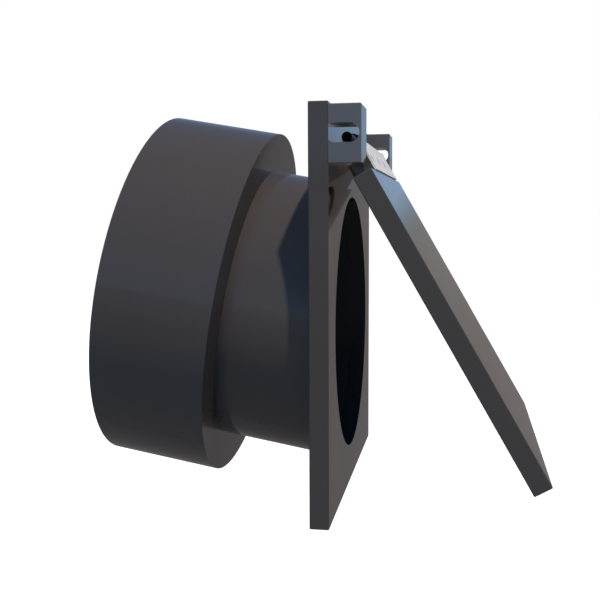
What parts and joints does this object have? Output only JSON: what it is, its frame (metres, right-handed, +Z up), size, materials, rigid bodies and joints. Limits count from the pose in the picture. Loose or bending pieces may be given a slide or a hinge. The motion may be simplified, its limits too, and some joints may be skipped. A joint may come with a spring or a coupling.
{
  "type": "flap valve",
  "caption": "Non-return flap valve for a drain outlet: a pipe socket and stub on a tilted seat plate, with a square flap hung on a floating pin in slotted blocks.",
  "frame": {"origin": "centre of the pipe stop in the socket, where the end of a pushed-in drain pipe lies", "axes": "+X out of the outlet, square to the seat plate; +Y along the hinge; +Z up along the seat plate, so the pipe's axis rises 10 degrees towards the inlet at -X"},
  "size_m": [0.2461, 0.204, 0.2161],
  "materials": {
    "sheet_plastic": "smooth black polyethylene sheet, sawn and edge-broken",
    "pipe_plastic": "smooth black polyethylene, extruded pipe and turned ring",
    "block_plastic": "milled black polyethylene",
    "seal_rubber": "matt black moulded rubber",
    "leaf_steel": "satin stainless sheet",
    "pin_steel": "drawn stainless rod",
    "screw_steel": "stainless screws"
  },
  "bodies": {
    "valve_body": {"seat_plate": "sheet_plastic", "pipe_stub": "pipe_plastic", "socket_ring": "pipe_plastic", "socket_seal": "seal_rubber", "hinge_block_near": "block_plastic", "hinge_block_far": "block_plastic", "block_screw_near_upper": "screw_steel", "block_screw_near_lower": "screw_steel", "block_screw_far_upper": "screw_steel", "block_screw_far_lower": "screw_steel"},
    "pin": {"hinge_pin": "pin_steel", "pin_clip_near": "pin_steel", "pin_clip_far": "pin_steel"},
    "flap": {"flap_plate": "sheet_plastic", "flap_seal": "seal_rubber", "hinge_leaf": "leaf_steel", "leaf_screw_1": "screw_steel", "leaf_screw_2": "screw_steel", "leaf_screw_3": "screw_steel", "leaf_screw_4": "screw_steel"}
  },
  "joints": [
    {"name": "pin_float", "type": "slide", "parent": "valve_body", "child": "pin", "axis": [1, 0, 0], "range_m": [-0.0002, 0.0015]},
    {"name": "flap_swing", "type": "hinge", "parent": "pin", "child": "flap", "pos_m": [0.0839, 0, 0.08743], "axis": [0, -1, 0], "range_deg": [-29.8, 60.2]}
  ]
}
